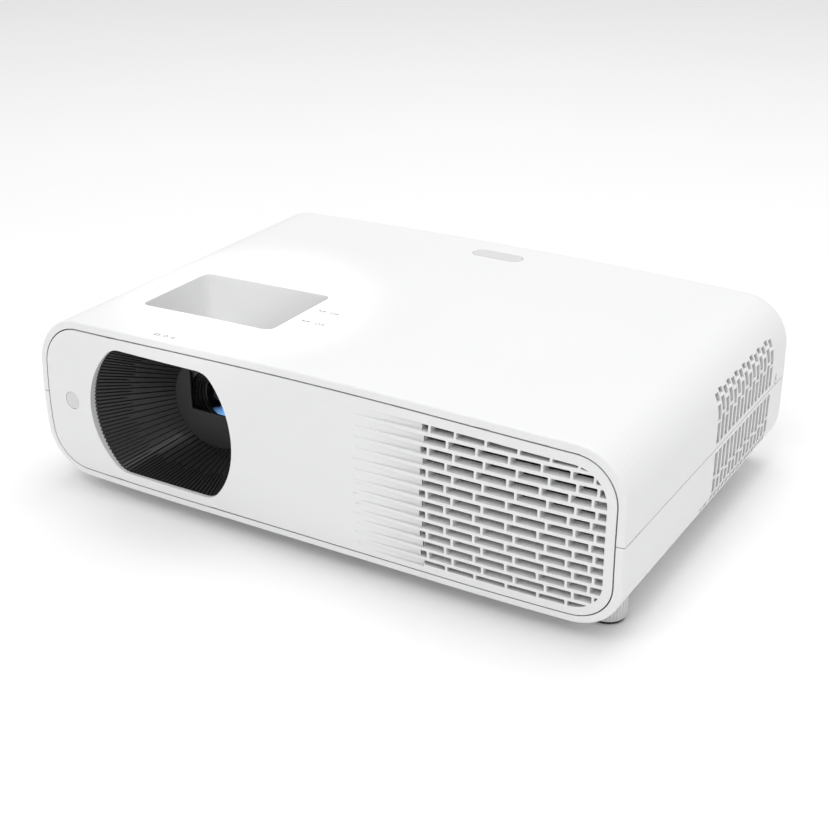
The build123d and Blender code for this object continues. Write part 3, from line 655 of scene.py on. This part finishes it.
@dataclass
class Shell:
    """The white case halves, the front panel, and what is set in them."""

    soft: dict[str, float] = field(default_factory=lambda: {
        "upper_case": 0.35 * MM, "lower_case": 0.35 * MM, "front_panel": 0.2 * MM})
    eye: Eye = Eye()
    bow_nodes: tuple[str, ...] = ("upper_case", "lower_case", "front_panel", "front_ir_window",
                                  "status_light")
    large_sweep: float = 4.617 * MM
    small_sweep: float = -1.127 * MM
    half_width: float = 200 * MM
    sweep_depth: float = 60 * MM
    fine: float = 0.15 * MM
    cuts_across: tuple[int, ...] = tuple(range(90, 210, 12))
    cuts_deep: tuple[int, ...] = tuple(range(-132, -83, 12))
    eye_cuts: tuple[float, ...] = (31.5, 33.0, 34.5, 36.0, 37.2, 38.5, 40.0, 41.5)
    tub_rim: float = 110 * MM
    tub: tuple = field(default_factory=lambda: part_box("adjustment_well"))
    front: float = field(default_factory=lambda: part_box("front_panel")[0][1])
    pieces: dict[str, bpy.types.Object] = field(default_factory=dict)

    def bow(self, piece: bpy.types.Object) -> None:
        """Sweeps the ends of the front back, as the front is curved from side to side too."""
        for vertex in piece.data.vertices:
            share = vertex.co.x / self.half_width
            sweep = max(0.0, self.small_sweep * share**2 + self.large_sweep * share**4)
            behind = (self.front + self.sweep_depth - vertex.co.y) / self.sweep_depth
            fade = min(1.0, max(0.0, behind))
            vertex.co.y += sweep * fade
        piece.data.update()

    def round_eye(self, piece: bpy.types.Object) -> None:
        """Rounds the corners of the lens opening."""
        steps = [across * MM for across in self.eye_cuts]
        Bench.slice(piece, 0, [self.eye.x - x for x in steps] + [self.eye.x + x for x in steps])
        for vertex in piece.data.vertices:
            vertex.co.x, vertex.co.z = self.eye.eased(vertex.co.x, vertex.co.z)
        piece.data.update()

    def seen(self, middle: Vector) -> bool:
        """True away from the joint where the case meets the tub below it."""
        low, high = self.tub
        beside = all(low[axis] - 1 * MM < middle[axis] < high[axis] + 1 * MM for axis in (0, 1))
        return not (beside and self.tub_rim < middle.z < high[2] + 0.4 * MM)

    def mesh(self) -> None:
        """Copies the nodes, bows their fronts and rounds their edges."""
        for node in self.bow_nodes:
            piece = Bench.copy_of(node, 0.2 if node == "front_panel" else 0.03)
            if node in self.soft:
                steps = [x * MM for x in self.cuts_across]
                Bench.slice(piece, 0, [-x for x in steps] + steps)
                Bench.slice(piece, 1, [y * MM for y in self.cuts_deep])
                self.bow(piece)
                if node == "front_panel":
                    self.round_eye(piece)
                Bench.soften(piece, self.soft[node], where=self.seen)
            else:
                self.bow(piece)
                Bench.soften(piece, self.fine)
            Bench.hold(piece, node)
            self.pieces[node] = piece

    def dress(self, shop: Workshop) -> None:
        """Finishes the shell."""
        for node, piece in self.pieces.items():
            shop.mount(piece, node)


@dataclass
class Hood:
    """The ribbed black funnel between the front panel and the plate around the lens."""

    arc_ribs: int = 18
    flat_ribs: int = 12
    rings: int = 20
    eye: Eye = Eye()
    throat: tuple[float, float] = (-100.0 * MM, 67.5 * MM)
    throat_radius: float = 31.8 * MM
    wall: float = 1.8 * MM
    groove: float = 1.5 * MM
    extra_depth: float = 0.44
    extra_wave: float = 0.04
    section: tuple[tuple[float, int], ...] = (
        (0.0, 0), (0.03, 1), (0.2, 1), (0.23, 0), (0.5, 0), (0.53, 2), (0.7, 2), (0.73, 0))
    piece: bpy.types.Object | None = None

    def _round(self, share: float, wall: float) -> tuple[tuple[float, float], tuple[float, float]]:
        """Matching places on the mouth and on the throat.

        Args:
            share: The number of ribs passed, starting at the upper corner on the right.
            wall: How far outside the inner face.

        Returns:
            (x, z) on the mouth, and (x, z) on the throat.
        """
        lean = math.asin(self.eye.half / self.eye.radius)
        half = self.eye.radius * math.cos(lean)
        sides = ((self.flat_ribs, True, math.pi / 2), (self.arc_ribs, False, math.pi),
                 (self.flat_ribs, True, -math.pi / 2), (self.arc_ribs, False, 0.0))
        for count, flat, middle in sides:
            if share <= count:
                break
            share -= count
        across = 2.0 * share / count - 1.0
        radius = self.throat_radius + wall
        if flat:
            up = 1.0 if middle > 0 else -1.0
            mouth = (self.eye.x - up * across * half, self.eye.z + up * (self.eye.half + wall))
            angle = middle + across * (math.pi / 2 - lean)
        else:
            angle = middle + across * lean
            reach = self.eye.radius + wall
            mouth = (self.eye.x + reach * math.cos(angle), self.eye.z + reach * math.sin(angle))
        throat = (self.throat[0] + radius * math.cos(angle),
                  self.throat[1] + radius * math.sin(angle))
        return self.eye.eased(*mouth), throat

    def mesh(self) -> None:
        """Draws the funnel ring by ring, with grooves between the ribs."""
        low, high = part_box("lens_hood")
        periods = 2 * (self.arc_ribs + self.flat_ribs)
        steps = periods * len(self.section)
        depths = [index / (self.rings - 1) for index in range(self.rings)]

        def ends_at(period: int) -> float:
            """The share of the depth where the extra groove of a rib ends, a little uneven."""
            return self.extra_depth + self.extra_wave * math.sin(period * 2.1)

        def rule(ring: int, step: int) -> tuple[float, float, float]:
            """The place of one corner."""
            period, part = divmod(step, len(self.section))
            offset, kind = self.section[part]
            inside = ring < self.rings
            depth = depths[ring] if inside else float(ring == self.rings)
            sunk = kind == 1 or (kind == 2 and depth < ends_at(period))
            wall = self.groove * sunk if inside else self.wall
            mouth, throat = self._round(period + offset, wall)
            y = low[1] + depth * (high[1] - low[1])
            return (mouth[0] + (throat[0] - mouth[0]) * depth, y,
                    mouth[1] + (throat[1] - mouth[1]) * depth)

        self.piece = Bench.hoop("look_lens_hood", steps, self.rings + 2)
        Bench.reshape(self.piece, steps, rule)
        Bench.close(self.piece)

    def dress(self, shop: Workshop) -> None:
        """Finishes the funnel."""
        shop.mount(self.piece, "lens_hood", 20.0)


@dataclass
class FrontLens:
    """The stepped cell and the front glass, which slide together to focus."""

    centre: tuple[float, float] = (-100.0 * MM, 67.5 * MM)
    steps: tuple[tuple[float, float], ...] = (
        (15.4, -75.0), (22.3, -75.0), (22.3, -91.0), (21.9, -91.6), (21.2, -91.6), (20.9, -91.2),
        (20.8, -89.9), (19.6, -89.9), (19.4, -89.6), (19.3, -88.3), (18.2, -88.3), (18.0, -88.0),
        (17.9, -86.6), (16.8, -86.6), (16.5, -86.3), (16.4, -85.0), (15.7, -84.8), (15.4, -84.4))
    glass_radius: float = 15.7
    bulge: float = 4.2
    pieces: dict[str, bpy.types.Object] = field(default_factory=dict)

    def mesh(self) -> None:
        """Turns the cell and the domed glass."""
        cell = Bench.turned("look_focus_cell", [(r * MM, y * MM) for r, y in self.steps],
                            self.centre, 128)
        Bench.close(cell)
        dome = [(self.glass_radius * math.cos(turn), -84.2 - self.bulge * math.sin(turn))
                for turn in [math.radians(6 * index) for index in range(15)]]
        rings = [(0.6, -79.0), (self.glass_radius, -79.0), *dome, (0.4, -84.2 - self.bulge)]
        glass = Bench.turned("look_focus_lens", [(r * MM, y * MM) for r, y in rings], self.centre)
        Bench.cap(glass)
        self.pieces = {"focus_cell": cell, "focus_lens": glass}

    def dress(self, shop: Workshop) -> None:
        """Finishes the cell and the glass."""
        shop.mount(self.pieces["focus_cell"], "focus_cell", 25.0)
        Bench.finish(self.pieces["focus_lens"], FrontGlass("coated_glass").make(), "coated_glass",
                     shop.body_of["focus_lens"], ("focus_lens",), 40.0)


@dataclass
class ShadeSheets:
    """Dark sheets just inside the slots of both flanks: painted shade, set there to darken the slot
    walls.
    """

    bend: tuple[tuple[float, float], ...] = (
        (198.0, 30.0), (203.0, 36.0), (204.5, 45.0), (205.0, 88.0), (202.5, 100.0), (198.0, 108.5))
    span: tuple[float, float] = (-16.0, 108.0)
    thick: float = 1.2 * MM
    pieces: list[bpy.types.Object] = field(default_factory=list)

    def mesh(self) -> None:
        """Bends one sheet for each flank."""
        for side in (-1, 1):
            bpy.ops.object.select_all(action="DESELECT")
            bpy.ops.mesh.primitive_plane_add(size=1.0)
            piece = bpy.context.object
            piece.name = "shade_sheet_right" if side > 0 else "shade_sheet_left"
            work = bmesh.new()
            work.from_mesh(piece.data)
            bmesh.ops.delete(work, geom=[v for v in work.verts if v.co.y > 0], context="VERTS")
            work.to_mesh(piece.data)
            work.free()
            with Bench.editing(piece):
                for _ in self.bend[1:]:
                    bpy.ops.mesh.extrude_edges_move()
            for vertex in piece.data.vertices:
                x, z = self.bend[vertex.index // 2]
                y = self.span[0] if vertex.co.x < 0 else self.span[1]
                vertex.co = (side * x * MM, y * MM, z * MM)
            Bench.pick(piece)
            solid = piece.modifiers.new("thick", "SOLIDIFY")
            solid.thickness = self.thick
            solid.offset = 0.0
            bpy.ops.object.modifier_apply(modifier=solid.name)
            with Bench.editing(piece):
                bpy.ops.mesh.normals_make_consistent(inside=False)
            self.pieces.append(piece)

    def dress(self, shop: Workshop) -> None:
        """Finishes the sheets."""
        for piece in self.pieces:
            # A dark finish, so that the sheets darken the slots as painted shade.
            Bench.finish(piece, shop.paint["paper_cone"], "paper_cone", CHASSIS)


class Outline(Enum):
    """The outlines that a printed sign can have, by their corners."""

    TRIANGLE = 3
    SQUARE = 4
    RING = 24


class Face(Enum):
    """The faces of the case that signs are printed on, by the way a print looks at them."""

    TOP = (0.0, 0.0, -1.0)
    RIGHT = (-1.0, 0.0, 0.0)


@dataclass(frozen=True)
class Sign:
    """One small sign: its outline, place in mm on its face, size, stretch and turn."""

    outline: Outline
    place: tuple[float, float]
    radius: float
    stretch: float = 1.0
    turn: float = 0.0
    face: Face = Face.TOP


@dataclass
class Signs:
    """Thin printed signs beside the rings, over the lights and by the lock."""

    ground: bpy.types.Object
    line: float = 0.45 * MM
    ink: float = 0.03 * MM
    signs: tuple[Sign, ...] = (
        Sign(Outline.SQUARE, (-114.2, -131.5), 1.9, 1.5, 45.0),
        Sign(Outline.RING, (-107.6, -131.2), 1.5),
        Sign(Outline.TRIANGLE, (-101.6, -131.6), 1.9, 1.0, 90.0),
        Sign(Outline.SQUARE, (-45.5, -47.4), 1.1, 3.4, 45.0),
        Sign(Outline.RING, (-37.6, -47.4), 1.7),
        Sign(Outline.TRIANGLE, (-34.2, -47.4), 1.7),
        Sign(Outline.SQUARE, (-45.0, -67.5), 1.1, 3.8, 45.0),
        Sign(Outline.RING, (-36.0, -67.5), 1.7),
        Sign(Outline.RING, (-32.0, -67.5), 1.2),
        Sign(Outline.SQUARE, (115.4, 72.6), 2.6, 1.1, 45.0, Face.RIGHT),
        Sign(Outline.RING, (115.4, 76.2), 1.6, 1.0, 0.0, Face.RIGHT),
    )
    pieces: list[bpy.types.Object] = field(default_factory=list)

    def _land(self, sign: Sign, across: float, up: float, lift: float) -> Vector:
        """The place on the case under one corner of a sign.

        Args:
            sign: The sign.
            across: Distance from the sign's middle along its face, in metres.
            up: Distance from the sign's middle up its face, in metres.
            lift: How far above the case.

        Returns:
            The place.
        """
        first, second = sign.place[0] * MM + across, sign.place[1] * MM + up
        way = Vector(sign.face.value)
        start = Vector((first, second, 0.3)) if sign.face is Face.TOP else Vector((0.3, first, second))
        landed, point, _, _ = self.ground.ray_cast(start, way)
        if not landed:
            raise ValueError(f"no case under the sign at {sign.place}")
        return point - way * lift

    def mesh(self) -> None:
        """Cuts each sign's outline and lays it on the case."""
        for sign in self.signs:
            bpy.ops.object.select_all(action="DESELECT")
            bpy.ops.mesh.primitive_circle_add(vertices=sign.outline.value,
                                              radius=sign.radius * MM, fill_type="NGON")
            piece = bpy.context.object
            piece.name = f"sign_{len(self.pieces)}"
            with Bench.editing(piece):
                bpy.ops.mesh.inset(thickness=self.line)
                bpy.ops.mesh.delete(type="FACE")
                bpy.ops.mesh.select_all(action="SELECT")
                bpy.ops.mesh.extrude_region_move(
                    TRANSFORM_OT_translate={"value": (0.0, 0.0, self.ink)})
                bpy.ops.mesh.select_all(action="SELECT")
                bpy.ops.mesh.normals_make_consistent(inside=False)
            angle = math.radians(sign.turn)
            for vertex in piece.data.vertices:
                x, y, lift = vertex.co
                across = (x * math.cos(angle) - y * math.sin(angle)) * sign.stretch
                up = x * math.sin(angle) + y * math.cos(angle)
                vertex.co = self._land(sign, across, up, lift + 0.005 * MM)
            self.pieces.append(piece)

    def dress(self, shop: Workshop) -> None:
        """Finishes the signs."""
        for piece in self.pieces:
            Bench.finish(piece, shop.paint["print_grey"], "white_case", CHASSIS)


# ------------------------------------------------------------------ studio
class LampKind(Enum):
    """The two kinds of studio lamp."""

    SOFT_BOX = "AREA"
    SNOOT = "SPOT"


@dataclass(frozen=True)
class Lamp:
    """One white lamp: a soft box of a size in metres, or a snoot of a beam in degrees."""

    name: str
    kind: LampKind
    place: tuple[float, float, float]
    aim: tuple[float, float, float]
    size: float
    watts: float

    def data(self) -> bpy.types.Light:
        """The lamp's light."""
        data = bpy.data.lights.new(self.name, self.kind.value)
        data.energy = self.watts
        if self.kind is LampKind.SOFT_BOX:
            data.shape = "SQUARE"
            data.size = self.size
        else:
            data.spot_size = math.radians(self.size)
            data.spot_blend = 1.0
            data.shadow_soft_size = 0.06
        return data


@dataclass
class Studio:
    """A plain white floor, white air, soft lamps and the camera."""

    air: float = 0.62
    lamps: tuple[Lamp, ...] = (
        Lamp("overhead", LampKind.SOFT_BOX, (0.2, 0.3, 2.4), (0.0, 0.0, 0.0), 1.6, 22.0),
        Lamp("front", LampKind.SOFT_BOX, (0.1, -1.9, 2.9), (0.0, 0.0, 0.0), 1.6, 25.0),
        Lamp("well", LampKind.SNOOT, (0.2, -0.45, 0.8), (-0.108, -0.045, 0.115), 7.5, 50.0),
    )
    camera_place: tuple[float, float, float] = (0.46547, -0.79887, 0.47448)
    camera_turn: float = 30.455
    camera_rise: float = 24.927
    lens: float = 64.68

    def floor(self) -> None:
        """Lays the floor just under the feet."""
        bpy.ops.object.select_all(action="DESELECT")
        bpy.ops.mesh.primitive_plane_add(size=16.0, location=(0.0, 0.0, -0.02 * MM))
        floor = bpy.context.object
        floor.name = "floor"
        sheet = Sheet("floor_paper")
        drift = sheet.noise(3.0)
        floor.data.materials.append(sheet.surface({
            "Base Color": sheet.blend(drift, (0.955, 0.955, 0.955), (0.97, 0.97, 0.97)),
            "Roughness": drift.ramp(0.3, 0.7, 0.75, 0.85),
            "Specular IOR Level": 0.2}))

    def light(self) -> None:
        """Fills the air with white light and hangs the lamps."""
        world = bpy.data.worlds.new("white_air")
        world.use_nodes = True
        back = world.node_tree.nodes["Background"]
        back.inputs["Color"].default_value = (1.0, 1.0, 1.0, 1.0)
        back.inputs["Strength"].default_value = self.air
        bpy.context.scene.world = world
        for lamp in self.lamps:
            holder = bpy.data.objects.new(lamp.name, lamp.data())
            holder.location = lamp.place
            aim = Vector(lamp.aim) - Vector(lamp.place)
            holder.rotation_euler = aim.to_track_quat("-Z", "Y").to_euler()
            bpy.context.scene.collection.objects.link(holder)

    def shoot(self) -> None:
        """Stands the camera where the whole front, top and right side show."""
        turn, rise = math.radians(self.camera_turn), math.radians(self.camera_rise)
        back = Vector((math.sin(turn) * math.cos(rise), -math.cos(turn) * math.cos(rise),
                       math.sin(rise)))
        data = bpy.data.cameras.new("camera")
        data.lens = self.lens
        data.sensor_width = 36.0
        data.clip_start = 0.01
        camera = bpy.data.objects.new("camera", data)
        camera.location = self.camera_place
        camera.rotation_euler = (-back).to_track_quat("-Z", "Y").to_euler()
        bpy.context.scene.collection.objects.link(camera)
        bpy.context.scene.camera = camera
        bpy.context.scene.view_settings.view_transform = "Standard"

    def build(self) -> None:
        """Sets up the floor, the light and the camera."""
        self.floor()
        self.light()
        self.shoot()


def main() -> None:
    """Builds each sub-assembly in turn, then the studio."""
    logging.basicConfig(level=logging.INFO, format="%(name)s: %(message)s")
    shop = Workshop()
    for node in frame["nodes"]:
        shop.paint_node(node)
    shell = Shell()
    assemblies = [
        shell,
        Hood(),
        FrontLens(),
        ShadeSheets(),
        Copies({"adjustment_well": 0.0, "top_ir_window": 0.2 * MM, "hood_plate": 0.5 * MM,
                "lens_barrel": 0.2 * MM, "focus_ring": 0.2 * MM, "zoom_ring": 0.2 * MM,
                "rear_panel": 0.25 * MM, "mains_inlet": 0.25 * MM}),
    ]
    for assembly in assemblies:
        assembly.mesh()
        assembly.dress(shop)
        log.info("%s done", type(assembly).__name__)
    signs = Signs(shell.pieces["upper_case"])
    signs.mesh()
    signs.dress(shop)
    Studio().build()


if __name__ == "__main__":
    main()
